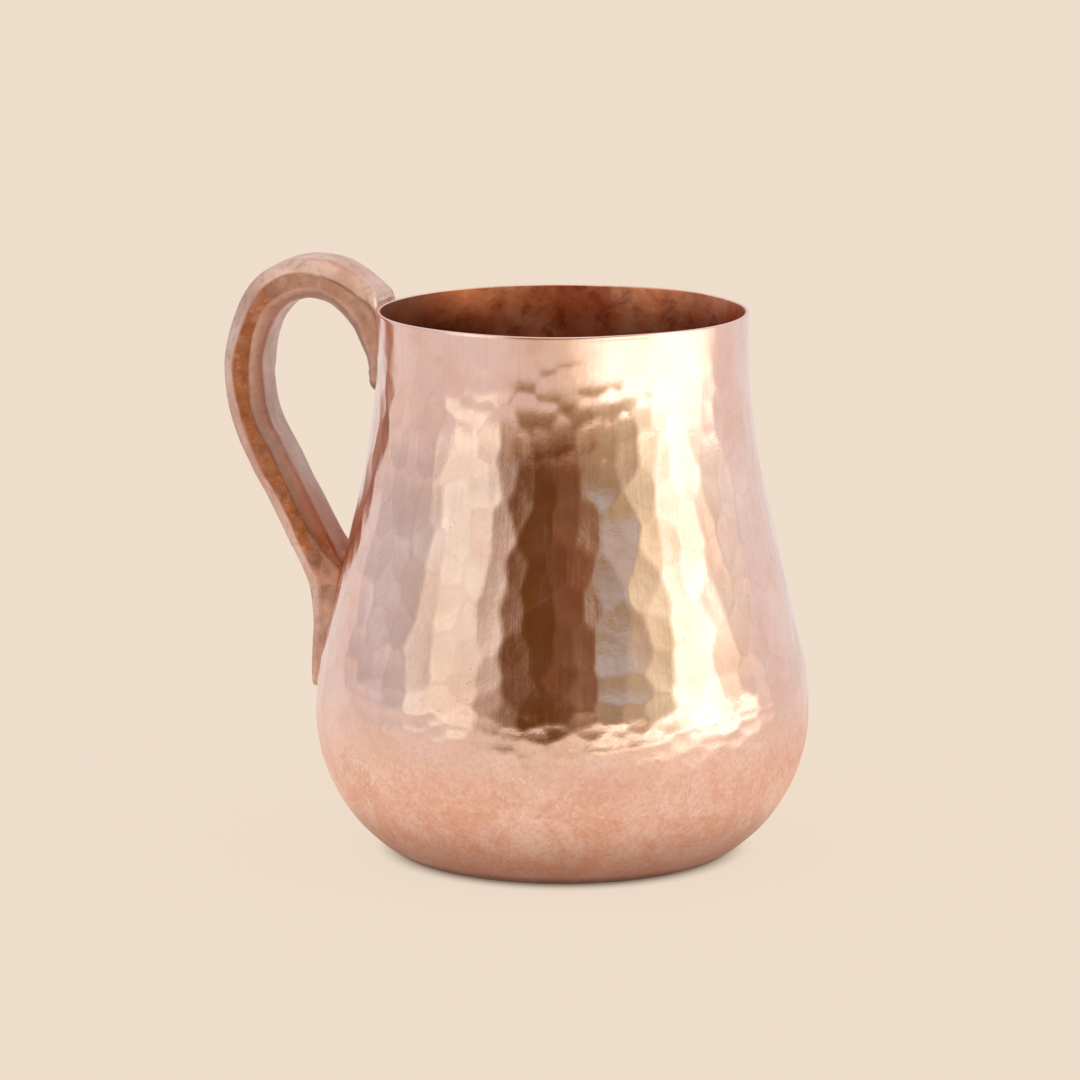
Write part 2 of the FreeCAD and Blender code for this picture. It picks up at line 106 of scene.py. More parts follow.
def wall_at(height):
    """Outer radius at a height above the belly, and the outward normal's rise in radians."""
    outer = profile(0.0)
    above = outer[outer[:, 1] > 20]
    radius = np.interp(height, above[:, 1], above[:, 0])
    low, high = np.interp([height - 0.2, height + 0.2], above[:, 1], above[:, 0])
    return radius, math.atan2(low - high, 0.4)


# ---------------------------------------------------------------- hammer marks
COLUMNS = 60
rng = np.random.default_rng(41)


def smooth(low, high, x):
    """From 0 to 1 between low and high, level at both ends."""
    t = np.clip((x - low) / (high - low), 0, 1)
    return t * t * (3 - 2 * t)


def mark_height(z):
    """How tall a hammer mark is at a height on the wall: long strokes above, short ones below."""
    return np.interp(z, [0, 22, 29, 36, 48, 91, 95, 109], [4.2, 3.6, 2.6, 3.0, 8.6, 8.2, 4.4, 4.4])


def mark_depth(z):
    """How strongly the marks show: crisp on the belly and neck, soft at the foot and the rim."""
    return np.interp(z, [2, 10, 24, 29, 36, 46, 90, 96, 102, 105, 107],
                     [0.25, 0.4, 0.5, 0.75, 0.8, 1.0, 1.0, 0.88, 0.6, 0.25, 0.0])


def hammered(angle, station, radius, z):
    """Height of the hammered surface over the smooth one, in mm, and how near a mark's edge it is.
    Every mark is a shallow flat, the lowest of the flats round a point wins, and each has its own
    place, depth and lean."""
    rows = int(station.max()) + 4
    place = rng.uniform(-0.36, 0.36, (COLUMNS, rows, 2))
    phase = rng.uniform(0, 1, COLUMNS)
    level = rng.uniform(-0.06, 0.06, (COLUMNS, rows))
    lean = rng.normal(0, 0.2, (COLUMNS, rows, 2))
    stretch = rng.uniform(0.82, 1.28, (COLUMNS, rows, 2))
    column = angle / TURN * COLUMNS
    best = np.full(column.shape, 9.0)
    second = np.full(column.shape, 9.0)
    for side in (-2, -1, 0, 1, 2):
        c = np.floor(column).astype(int) + side
        wrapped = c % COLUMNS
        row0 = np.floor(station - phase[wrapped]).astype(int)
        for up in (-1, 0, 1, 2):
            r = np.clip(row0 + up + 1, 0, rows - 1)
            dx = column - (c + 0.5 + place[wrapped, r, 0])
            dy = station - (row0 + up + 0.5 + phase[wrapped] + place[wrapped, r, 1])
            bowl = dx * dx * stretch[wrapped, r, 0] + dy * dy * stretch[wrapped, r, 1]
            value = bowl + level[wrapped, r] + lean[wrapped, r, 0] * dx + lean[wrapped, r, 1] * dy
            second = np.minimum(second, np.maximum(best, value))
            best = np.minimum(best, value)
    edge = second - best
    blur = np.interp(z, [24, 40, 86, 95], [0.10, 0.04, 0.04, 0.14])
    ridge = 0.5 * np.maximum(blur - edge, 0) ** 2 / blur
    mark_width = TURN * radius / COLUMNS
    depth = mark_width ** 2 / (2 * radius) * 1.2
    crisp = smooth(0.5, 0.95, mark_depth(z))
    return (best - ridge - 0.14) * depth * mark_depth(z), 1 - crisp * np.clip(1 - edge / 0.3, 0, 1)


# ---------------------------------------------------------------- mesh tools
def make_piece(name, points, faces, slot_of_face=None, attributes=None):
    """A mesh object that rides on the pitcher. Points are in mm, attributes one value a point."""
    mesh = bpy.data.meshes.new(name)
    mesh.from_pydata([tuple(p) for p in np.asarray(points) * MM], [], faces)
    mesh.update()
    mesh.shade_smooth()
    if slot_of_face is not None:
        mesh.polygons.foreach_set("material_index", slot_of_face)
    for label, values in (attributes or {}).items():
        layer = mesh.attributes.new(label, "FLOAT", "POINT")
        layer.data.foreach_set("value", np.asarray(values, dtype=np.float32))
    thing = bpy.data.objects.new(name, mesh)
    bpy.context.scene.collection.objects.link(thing)
    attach(thing, "root")
    return thing


def ring_faces(rings, around):
    """Quads between neighbouring rings of `around` points each."""
    faces = []
    for ring in range(rings - 1):
        low, high = ring * around, (ring + 1) * around
        for i in range(around):
            j = (i + 1) % around
            faces.append((low + i, low + j, high + j, high + i))
    return faces


def waves(x, y, count, seed, scale):
    """A soft sum of plane waves, about -1 to 1, for slow unevenness."""
    source = np.random.default_rng(seed)
    total = np.zeros(np.broadcast(x, y).shape)
    for _ in range(count):
        fx, fy = source.normal(0, scale, 2)
        total = total + np.sin(fx * x + fy * y + source.uniform(0, TURN))
    return total / math.sqrt(count)


# ---------------------------------------------------------------- the hammered vessel
def build_vessel():
    """The raised sheet shell: base, hammered outside, rolled lip and a smoother inside."""
    around, outer_rows, inner_rows = 480, 176, 16
    angle = np.linspace(0, TURN, around, endpoint=False)
    lip_start = RIM - 0.3
    outer = along(profile(0.0), outer_rows)
    outer = outer[outer[:, 1] < lip_start]
    inner = along(profile(WALL), inner_rows)[::-1]
    inner = inner[inner[:, 1] < lip_start]
    base_out = np.array([[r, 0.0] for r in (4, 12, 20, 27, 30.6)])
    base_in = np.array([[r, WALL] for r in (30.6, 25, 17, 9, 3)])
    lip = arc_points((LIP_OUT, RIM - LIP_ROUND), LIP_ROUND, 0, 90, 4)
    lip_in = arc_points((LIP_IN, RIM - LIP_ROUND), LIP_ROUND, 90, 180, 4)
    line = np.concatenate([base_out, outer, lip, lip_in, inner, base_in])
    r, z = line[:, 0], line[:, 1]
    first_outer, last_outer = len(base_out), len(base_out) + len(outer)
    slope = np.gradient(line, axis=0)
    normal = np.stack([slope[:, 1], -slope[:, 0]], 1)
    normal /= np.maximum(np.hypot(*normal.T), 1e-6)[:, None]

    part = slice(first_outer, last_outer)
    steps = np.hypot(*np.diff(line[part], axis=0).T)
    station = np.concatenate([[0], np.cumsum(steps / mark_height(z[part][1:]))]) + 1
    grid_angle, grid_station = np.meshgrid(angle, station)
    grid_r, grid_z = np.meshgrid(angle, r[part])[1], np.meshgrid(angle, z[part])[1]
    height, edge = hammered(grid_angle, grid_station, grid_r, grid_z)
    slow = waves(grid_angle * 40, grid_z, 14, 5, 0.16) * 0.035 * smooth(0, 8, grid_z)
    # the tongues of the handle bed on a calm wall
    off_plane = np.abs((grid_angle - HANDLE_SIDE + math.pi) % TURN - math.pi) * grid_r
    under_handle = (1 - smooth(6.0, 8.5, off_plane)) * (
        smooth(28, 32, grid_z) * (1 - smooth(56, 60, grid_z)) + smooth(89, 92, grid_z))
    push = (height + slow) * (1 - under_handle) - 0.02 * under_handle

    offset = np.zeros((len(line), around))
    hollow = np.full((len(line), around), 0.6)
    offset[part] = push
    hollow[part] = edge
    inside = slice(last_outer + len(lip) + len(lip_in), len(line) - len(base_in))
    in_angle, in_z = np.meshgrid(angle, z[inside])
    dents = waves(in_angle * 40, in_z, 26, 9, 0.45) * 0.06
    offset[inside] = dents * smooth(RIM, RIM - 6, in_z)

    spread_r = r[:, None] + normal[:, 0:1] * offset
    spread_z = z[:, None] + normal[:, 1:2] * offset
    uneven = waves(np.cos(angle) * 2, np.sin(angle) * 2, 5, 3, 1.2) * 0.09
    spread_z = spread_z + uneven[None, :] * smooth(RIM - 5, RIM, z)[:, None]
    spread_z[:first_outer] = 0
    x = spread_r * np.cos(angle)
    y = spread_r * np.sin(angle)
    points = np.stack([x, y, spread_z], -1).reshape(-1, 3)
    faces = ring_faces(len(line), around)
    count = len(points)
    points = np.concatenate([points, [[0, 0, 0.0], [0, 0, WALL]]])
    top = (len(line) - 1) * around
    faces += [(count, (i + 1) % around, i) for i in range(around)]
    faces += [(count + 1, top + i, top + (i + 1) % around) for i in range(around)]

    rows_of_faces = np.repeat(np.arange(len(line) - 1), around)
    slots = np.where(rows_of_faces >= last_outer + len(lip) + 2, 1, 0)
    slots = np.concatenate([slots, np.zeros(around), np.ones(around)]).astype(int)
    values = np.concatenate([hollow.reshape(-1), [0.6, 0.6]])
    vessel = make_piece("vessel_hammered", points, faces, slots, {"edge_calm": values})
    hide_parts("vessel")
    return vessel


# ---------------------------------------------------------------- the forged handle, in millimetres
STRAP_THICK = 8.4
UPPER_TIP, LOWER_TIP = 91.6, 30.4
TONGUE_GAP = 0.05
# the bends in the strap's side view: the middle of each, as (outward, up), and its outer curve
THROAT, THROAT_CURVE = (55.1, 94.56), 16.4
ARCH, ARCH_CURVE = (51.0, 101.2), 17.0
SIDE, SIDE_CURVE = (35.59, 94.02), 34.0
FOOT, FOOT_CURVE = (75.82, 44.0), 25.0
# the angles at which one bend takes over from the one before
ARCH_START, SIDE_START = 58.3, 155.0
LEG_SLOPE, FOOT_LEAN = 28.0, 2.6


def bend(centre, curve, degrees):
    """A point of a bend in the side view, the angle counted upward from the vessel's side."""
    turn = math.radians(degrees)
    return centre[0] - curve * math.cos(turn), centre[1] + curve * math.sin(turn)


def both_faces(centre, curve, degrees):
    """The matching points on a bend's inside and outside, the strap's thickness apart."""
    return bend(centre, curve - STRAP_THICK, degrees), bend(centre, curve, degrees)


def strap_edges():
    """The strap's two long lines in its side view, seen outward from the vessel's axis, as pairs of
    matching points: the line on the loop's inside and the line on its outside or on the wall."""
    # above the rim the strap's back stands upright for a little, and then its arch begins; the
    # throat's angles match the rim and the upright's top
    rim_turn, upright_turn = 35, 42
    upright_foot, upright_top = (36.93, RIM), (37.05, 110.6)
    arch_outside_start = 34.4

    def wall(z):
        return wall_at(z)[0] + TONGUE_GAP

    def throat(degrees):
        return bend(THROAT, THROAT_CURVE, degrees)

    def stages(count, first, last):
        """Even steps without the first one, which the stretch before has given."""
        return np.linspace(first, last, count)[1:]

    pairs = []
    # the upper tongue grows from its thin tip, then the strap leaves the wall at the rim
    for t in np.linspace(0, 1, 10):
        z = UPPER_TIP + (THROAT[1] - UPPER_TIP) * t
        pairs.append(((wall(z) + 0.6 + 1.0 * min(1, t * 1.6), z), (wall(z), z)))
    for turn, z in zip(stages(16, 0, rim_turn), stages(16, THROAT[1], RIM)):
        pairs.append((throat(turn), (wall(z), z)))
    for turn, back in zip(stages(5, rim_turn, upright_turn), stages(5, upright_foot, upright_top)):
        pairs.append((throat(turn), tuple(back)))
    for turn, arch_turn in zip(stages(12, upright_turn, ARCH_START),
                               stages(12, arch_outside_start, ARCH_START)):
        pairs.append((throat(turn), bend(ARCH, ARCH_CURVE, arch_turn)))
    # the loop: the arch, then the long side down to the straight leg
    for turn in stages(34, ARCH_START, SIDE_START):
        pairs.append(both_faces(ARCH, ARCH_CURVE, turn))
    for turn in stages(30, SIDE_START, 180 + LEG_SLOPE):
        pairs.append(both_faces(SIDE, SIDE_CURVE, turn))
    # the leg and the foot thin into the lower tongue, whose inside follows the wall
    leg_in, leg_out = both_faces(SIDE, SIDE_CURVE, 180 + LEG_SLOPE)
    foot = [bend(FOOT, FOOT_CURVE, turn) for turn in np.linspace(LEG_SLOPE, -FOOT_LEAN, 30)]
    outer = np.array([leg_out, *foot, (51.41, LOWER_TIP)])
    meet = 55.9
    meet_out = leg_in[0] - (leg_in[1] - meet) * math.tan(math.radians(LEG_SLOPE))
    on_wall = [(wall(z), z) for z in stages(30, meet, LOWER_TIP)]
    inner = np.array([leg_in, (meet_out, meet), *on_wall])
    # near the foot's bend the outer line runs a little ahead of the inner one
    keys = [0, 0.48, 0.62, 0.75, 1]
    share = np.linspace(0, 1, 78)
    outer_at = np.interp(share, keys, [0, 0.50, 0.63, 0.755, 1])
    inner_at = np.interp(share, keys, [0, 0.475, 0.62, 0.75, 1])
    for a, b in zip(along(inner, stations=inner_at)[1:], along(outer, stations=outer_at)[1:]):
        pairs.append((tuple(a), tuple(b)))
    low, high = np.array([p[0] for p in pairs]), np.array([p[1] for p in pairs])
    return low, high


def strap_section(thick, half, bevel_in, bevel_out):
    """One bevelled section as (across, up) points: `up` runs from the loop's inside to its outside.
    The corners carry a small round, so that the ridge lines catch light."""
    corners = np.array([(half - bevel_in, 0), (half, bevel_in), (half, thick - bevel_out),
                        (half - bevel_out, thick), (-half + bevel_out, thick),
                        (-half, thick - bevel_out), (-half, bevel_in),
                        (-half + bevel_in, 0)], float)
    points, roles = [], []
    counts = [3, 9, 3, 9, 3, 9, 3, 9]
    kinds = ["bevel", "side", "bevel", "outer", "bevel", "side", "bevel", "inner"]
    for i, (here, kind, count) in enumerate(zip(corners, kinds, counts)):
        there = corners[(i + 1) % 8]
        length = np.linalg.norm(there - here)
        way = (there - here) / max(length, 1e-6)
        trim = min(0.32, length * 0.3)
        start, end = here + way * trim, there - way * trim
        for t in np.linspace(0, 1, count):
            points.append(start + (end - start) * t)
            roles.append(kind)
    return np.array(points), roles


def build_handle():
    """The forged strap: bevelled sections along its side view, dented by the hammer, with its two
    tongues bent round the wall that they lie on."""
    low, high = strap_edges()
    middle = (low + high) / 2
    steps = np.hypot(*np.diff(middle, axis=0).T)
    length = np.concatenate([[0], np.cumsum(steps)])
    sections = 300
    at = np.linspace(0, length[-1], sections)
    low = np.stack([np.interp(at, length, low[:, i]) for i in range(2)], 1)
    high = np.stack([np.interp(at, length, high[:, i]) for i in range(2)], 1)
    total = at[-1]
    t = at / total

    # the strap is widest at its tongues, whose tips are rounded
    half_width = np.interp(t, [0, 0.06, 0.16, 0.3, 0.5, 0.66, 0.80, 0.92, 1],
                           [7.3, 7.4, 7.1, 6.6, 6.4, 6.5, 6.9, 7.3, 7.3])
    half_width = half_width + 0.16 * waves(at, 0 * at, 7, 21, 0.5)
    tip_length, tip_narrowing = 4.6, 4.2
    for distance in (at, total - at):
        tip = np.clip(distance / tip_length, 0, 1)
        half_width = half_width - tip_narrowing * (1 - np.sqrt(1 - (1 - tip) ** 2))
    points, side_of, inner_of = [], [], []
    rings = []
    for k in range(sections):
        gap = high[k] - low[k]
        thick = np.hypot(*gap)
        up = gap / thick
        bed_top = 1 - smooth(12, 20, at[k])
        bed_low = smooth(total - 30, total - 22, at[k])
        bevel = min(2.6 + 0.25 * math.sin(at[k] * 0.31), 0.33 * thick)
        bevel_low, bevel_high = bevel * 0.9, bevel * 1.06
        # a tongue has no bevel where it lies on the wall: the arch's outside at the neck, its
        # inside below
        bevel_high = bevel_high * (1 - bed_top) + 0.12 * bed_top
        bevel_low = bevel_low * (1 - bed_low) + 0.12 * bed_low
        section, roles = strap_section(thick, half_width[k], bevel_low, bevel_high)
        rings.append((section, roles, low[k], up))
    marks = np.random.default_rng(77)
    dents = [(marks.uniform(0, total), marks.uniform(-8, 8), marks.uniform(2.2, 4.6),
              marks.uniform(0.06, 0.20)) for _ in range(130)]
    for k, (section, roles, origin, up) in enumerate(rings):
        count = len(section)
        thick = section[:, 1].max()
        centre = np.array([0, thick / 2])
        free = smooth(0, 3, at[k]) * smooth(0, 3, total - at[k])
        for (y, h), role in zip(section, roles):
            out = np.array([y, h]) - centre
            out /= max(np.hypot(*out), 1e-6)
            where = y if role in ("outer", "inner") else (8 + h) * (1 if y > 0 else -1)
            push = 0.0
            for a, b, wide, deep in dents:
                d2 = ((at[k] - a) ** 2 * 0.6 + (where - b) ** 2) / wide ** 2
                if d2 < 1:
                    push -= deep * (1 - d2) ** 2
            on_wall = (role == "outer" and at[k] < 16) or (role == "inner" and at[k] > total - 26)
            push *= 0 if on_wall else free
            y2, h2 = y + out[0] * push, h + out[1] * push
            place = origin + up * h2
            # the wall is round, so a strap end bends round it: fully where it lies on the wall,
            # less on its free face the thicker it is
            bed = max(1 - smooth(14, 24, at[k]), smooth(total - 32, total - 24, at[k]))
            radius = wall_at(np.clip(place[1], 24, RIM - 1))[0]
            sag = radius - math.sqrt(radius ** 2 - y2 ** 2)
            free_share = (h if at[k] > total / 2 else thick - h) / thick
            follow = 1 - free_share * smooth(1.2, 6, thick)
            points.append((-place[0] + sag * bed * follow, y2, place[1]))
            low_bevel = role == "bevel" and h < thick / 2
            side_of.append(float(role == "side"))
            inner_of.append(float(role == "inner" or low_bevel))
    points = np.array(points)
    faces = ring_faces(sections, count)
    tips = []
    for ring in (0, sections - 1):
        tips.append(points[ring * count:(ring + 1) * count].mean(axis=0))
    first, last = len(points), len(points) + 1
    points = np.concatenate([points, tips])
    end = (sections - 1) * count
    faces += [(first, (i + 1) % count, i) for i in range(count)]
    faces += [(last, end + i, end + (i + 1) % count) for i in range(count)]
    down = np.concatenate([np.repeat(t, count), [0, 1]])
    handle = make_piece("handle_forged", points, faces, None, {
        "side_face": side_of + [0, 0], "inner_face": inner_of + [0, 0], "down": down})
    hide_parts("handle")
    return handle


# ---------------------------------------------------------------- rivets
def build_rivet(name, height, around_degrees, stand, lift_out, seed):
    """A rivet set by hand: a shank and two low heads whose crowns carry a few hammer flats. The
    inner head lies on the vessel's wall, the outer one on the tongue, `stand` away from the wall and
    facing `lift_out` degrees above the horizontal."""
    shank, head, rise = 1.2, 1.9, 0.8
    turn = HANDLE_SIDE + math.radians(around_degrees)
    radius, lift = wall_at(height)
    side = Vector((-math.sin(turn), math.cos(turn), 0))

    def facing(angle):
        flat = Vector((math.cos(turn), math.sin(turn), 0))
        return flat * math.cos(angle) + Vector((0, 0, math.sin(angle)))

    out_in, out_out = facing(lift), facing(math.radians(lift_out))
    on_wall = Vector((radius * math.cos(turn), radius * math.sin(turn), height))
    bases = {1: (on_wall + out_in * stand, out_out), -1: (on_wall - out_in * (WALL + 0.08), -out_in)}
    curve = (head ** 2 + rise ** 2) / (2 * rise)
    reach = math.asin(head / curve)
    crown = [(curve * math.sin(reach * s), rise - curve * (1 - math.cos(reach * s)))
             for s in np.linspace(0.06, 1, 14)]
    half = crown + [(head - 0.03, -0.03), (shank, -0.05)]
    line = [(r, h, 1) for r, h in half] + [(r, h, -1) for r, h in reversed(half)]
    around = 48
    flats = random.Random(seed)
    planes = [(flats.uniform(0, TURN), flats.uniform(0.3, 0.65), flats.uniform(0.04, 0.12))
              for _ in range(7)]
    points = []
    for r, h, end in line:
        base, out = bases[end]
        up = out.cross(side)
        for i in range(around):
            a = TURN * i / around * end
            px, py = r * math.cos(a), r * math.sin(a)
            lows = [(px * math.cos(t) + py * math.sin(t)) * lean / head - 0.2 + deep
                    for t, lean, deep in planes]
            drop = min(max(max(lows), 0), 0.14) if h > 0 else 0
            points.append(tuple(base + side * px + up * py + out * (h - drop)))
    faces = ring_faces(len(line), around)
    count = len(points)
    for end in (1, -1):
        base, out = bases[end]
        points.append(tuple(base + out * (rise - 0.01)))
    last = (len(line) - 1) * around
    faces += [(count, (i + 1) % around, i) for i in range(around)]
    faces += [(count + 1, last + i, last + (i + 1) % around) for i in range(around)]
    rivet = make_piece(f"{name}_set", points, faces)
    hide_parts(name)
    return rivet


# ---------------------------------------------------------------- materials
class Nodes:
    """A short way to lay out shader nodes."""

    def __init__(self, tree):
        self.tree = tree

    def add(self, kind, **settings):
        node = self.tree.nodes.new(kind)
        for key, value in settings.items():
            setattr(node, key, value)
        return node

    def link(self, source, target):
        self.tree.links.new(source, target)

    def math(self, operation, a, b=None, clamp=False):
        node = self.add("ShaderNodeMath", operation=operation, use_clamp=clamp)
        for socket, value in zip(node.inputs, (a, b)):
            if value is None:
                continue
            if isinstance(value, (int, float)):
                socket.default_value = value
            else:
                self.link(value, socket)
        return node.outputs[0]

    def times(self, a, b, clamp=False):
        return self.math("MULTIPLY", a, b, clamp)

    def vector(self, x, y, z):
        node = self.add("ShaderNodeCombineXYZ")
        for socket, value in zip(node.inputs, (x, y, z)):
            if isinstance(value, (int, float)):
                socket.default_value = value
            else:
                self.link(value, socket)
        return node.outputs[0]

    def noise(self, where, scale, detail=4.0, roughness=0.5, distortion=0.0):
        node = self.add("ShaderNodeTexNoise")
        self.link(where, node.inputs["Vector"])
        node.inputs["Scale"].default_value = scale
        node.inputs["Detail"].default_value = detail
        node.inputs["Roughness"].default_value = roughness
        node.inputs["Distortion"].default_value = distortion
        return node.outputs["Fac"]

    def cells(self, where, scale):
        node = self.add("ShaderNodeTexVoronoi", feature="F1")
        self.link(where, node.inputs["Vector"])
        node.inputs["Scale"].default_value = scale
        return node.outputs["Distance"]

    def ramp(self, value, stops):
        node = self.add("ShaderNodeValToRGB")
        elements = node.color_ramp.elements
        for i, (place, colour) in enumerate(stops):
            element = elements[i] if i < 2 else elements.new(place)
            element.position = place
            shade = colour if isinstance(colour, tuple) else (colour, colour, colour)
            element.color = (*shade, 1)
        self.link(value, node.inputs["Fac"])
        return node.outputs["Color"]

    def remap(self, value, low, high, to_low=0.0, to_high=1.0):
        node = self.add("ShaderNodeMapRange")
        self.link(value, node.inputs["Value"])
        for key, number in (("From Min", low), ("From Max", high), ("To Min", to_low),
                            ("To Max", to_high)):
            node.inputs[key].default_value = number
        return node.outputs["Result"]

    def fade(self, angle, low, high):
        """From 0 to 1 as an angle in radians goes between two given in degrees."""
        return self.remap(angle, math.radians(low), math.radians(high))

    def mix(self, amount, a, b, blend="MIX"):
        node = self.add("ShaderNodeMix", data_type="RGBA", blend_type=blend)
        for socket, value in ((node.inputs[0], amount), (node.inputs[6], a), (node.inputs[7], b)):
            if isinstance(value, tuple):
                socket.default_value = (*value, 1)
            elif isinstance(value, (int, float)):
                socket.default_value = value
            else:
                self.link(value, socket)
        return node.outputs[2]

    def bump(self, height, distance, strength=1.0, normal=None):
        node = self.add("ShaderNodeBump")
        self.link(height, node.inputs["Height"])
        node.inputs["Distance"].default_value = distance
        node.inputs["Strength"].default_value = strength
        if normal is not None:
            self.link(normal, node.inputs["Normal"])
        return node.outputs["Normal"]


def new_metal(name):
    """A metallic material, its node helper and its shader."""
    material = bpy.data.materials.new(name)
    material.use_nodes = True
    tree = material.node_tree
    shader = tree.nodes["Principled BSDF"]
    shader.inputs["Metallic"].default_value = 1.0
    return material, Nodes(tree), shader


UNROLLED_RADIUS = 0.045


def places(nodes):
    """Object position, and the same position unrolled round the vessel's axis, in metres."""
    spot = nodes.add("ShaderNodeTexCoord").outputs["Object"]
    apart = nodes.add("ShaderNodeSeparateXYZ")
    nodes.link(spot, apart.inputs[0])
    x, y, z = apart.outputs
    turn = nodes.math("ARCTAN2", y, x)
    return spot, nodes.times(turn, UNROLLED_RADIUS), z


def outer_copper():
    """Polished copper with painted shade along the hammer marks' edges, upright polishing marks,
    painted glints on nicks and a satin, blotched foot with a painted contact shadow.
    """
    material, nodes, shader = new_metal("copper_hammered_polished")
    spot, around, z = places(nodes)
    calm = nodes.add("ShaderNodeAttribute", attribute_name="edge_calm").outputs["Fac"]
    tone = nodes.noise(spot, 55, 5, 0.6)
    colour = nodes.ramp(nodes.remap(tone, 0.34, 0.68), [
        (0.0, (0.90, 0.57, 0.45)), (0.5, (0.945, 0.64, 0.535)), (1.0, (0.975, 0.71, 0.61))])
    # fine upright polishing marks
    upright = nodes.vector(around, 0.0, nodes.times(z, 0.07))
    streaks = nodes.noise(upright, 900, 4, 0.65)
    polished = nodes.remap(z, 0.030, 0.045)
    amount = nodes.times(nodes.remap(streaks, 0.55, 0.8, 0.0, 0.26), polished)
    colour = nodes.mix(amount, colour, (0.66, 0.36, 0.26))
    # a thin tarnish in clouds and at the foot; painted shade along the marks' edges
    tarnish = nodes.noise(spot, 140, 6, 0.62, 0.4)
    colour = nodes.mix(nodes.remap(tarnish, 0.50, 0.72, 0.0, 0.36), colour, (0.78, 0.44, 0.36))
    # painted shade along the hammer marks' edges
    colour = nodes.mix(nodes.remap(calm, 0.6, 0.0, 0.0, 0.16), colour, (0.62, 0.34, 0.26))
    low = nodes.remap(z, 0.034, 0.022)
    blotch = nodes.noise(spot, 95, 6, 0.7, 0.8)
    warm = nodes.times(nodes.remap(blotch, 0.44, 0.58), low, True)
    warm = nodes.times(warm, nodes.remap(z, 0.028, 0.014, 0.35, 1.0))
    colour = nodes.mix(nodes.times(warm, 0.62), colour, (0.82, 0.42, 0.27))
    speckle = nodes.noise(spot, 1000, 4, 0.75)
    grainy = nodes.times(nodes.remap(speckle, 0.47, 0.62), nodes.remap(z, 0.040, 0.020), True)
    colour = nodes.mix(nodes.times(grainy, 0.34), colour, (0.68, 0.31, 0.20))
    pale = nodes.times(nodes.remap(speckle, 0.44, 0.30), low, True)
    colour = nodes.mix(nodes.times(pale, 0.45), colour, (0.99, 0.84, 0.78))
    # painted glints: small nicks made bright, in patches just under the hammered band
    nick_glints = nodes.times(nodes.remap(nodes.cells(spot, 560), 0.24, 0.12),
                        nodes.remap(nodes.noise(spot, 60, 3), 0.48, 0.58), True)
    nick_glints = nodes.times(nick_glints, nodes.times(low, nodes.remap(z, 0.012, 0.020)))
    colour = nodes.mix(nodes.times(nick_glints, 0.6), colour, (1.0, 0.90, 0.85))
    # painted contact shadow: darker towards the bottom, with a dark line where the foot meets the
    # table
    colour = nodes.mix(nodes.remap(z, 0.012, 0.0, 0.0, 0.5), colour, (0.54, 0.25, 0.17))
    colour = nodes.mix(nodes.remap(z, 0.0026, 0.0006, 0.0, 0.9), colour, (0.13, 0.05, 0.03))
    grains = nodes.cells(spot, 700)
    pit = nodes.times(nodes.remap(grains, 0.15, 0.06),
                      nodes.remap(nodes.noise(spot, 90, 3), 0.54, 0.64), True)
    colour = nodes.mix(nodes.times(pit, 0.55), colour, (0.34, 0.15, 0.10))
    nodes.link(colour, shader.inputs["Base Color"])
    rough = nodes.remap(tarnish, 0.34, 0.72, 0.09, 0.20)
    rough = nodes.math("ADD", rough, nodes.times(low, nodes.remap(blotch, 0.3, 0.7, 0.16, 0.28)))
    rough = nodes.math("ADD", rough, nodes.remap(streaks, 0.45, 0.8, 0.0, 0.07))
    rough = nodes.math("ADD", rough, nodes.remap(calm, 0.4, 0.0, 0.0, 0.06), True)
    nodes.link(rough, shader.inputs["Roughness"])
    # the satin grain: upright marks above, short crossing scratches on the lower belly
    crossing = nodes.vector(nodes.math("ADD", around, nodes.times(z, 0.8)),
                            0.0, nodes.math("SUBTRACT", z, nodes.times(around, 0.7)))
    squeeze = nodes.add("ShaderNodeVectorMath", operation="MULTIPLY")
    nodes.link(crossing, squeeze.inputs[0])
    squeeze.inputs[1].default_value = (0.16, 1.0, 1.0)
    scratches = nodes.noise(squeeze.outputs[0], 1500, 3, 0.7, 0.5)
    grain = nodes.mix(low, streaks, scratches)
    normal = nodes.bump(grain, 0.00003, 0.45)
    ripples = nodes.noise(spot, 420, 3, 0.55)
    ripples = nodes.times(ripples, nodes.remap(z, 0.096, 0.084, 0.25, 1.0))
    normal = nodes.bump(ripples, 0.00008, 0.5, normal)
    normal = nodes.bump(nodes.times(speckle, low), 0.00009, 0.7, normal)
    nodes.link(normal, shader.inputs["Normal"])
    return material


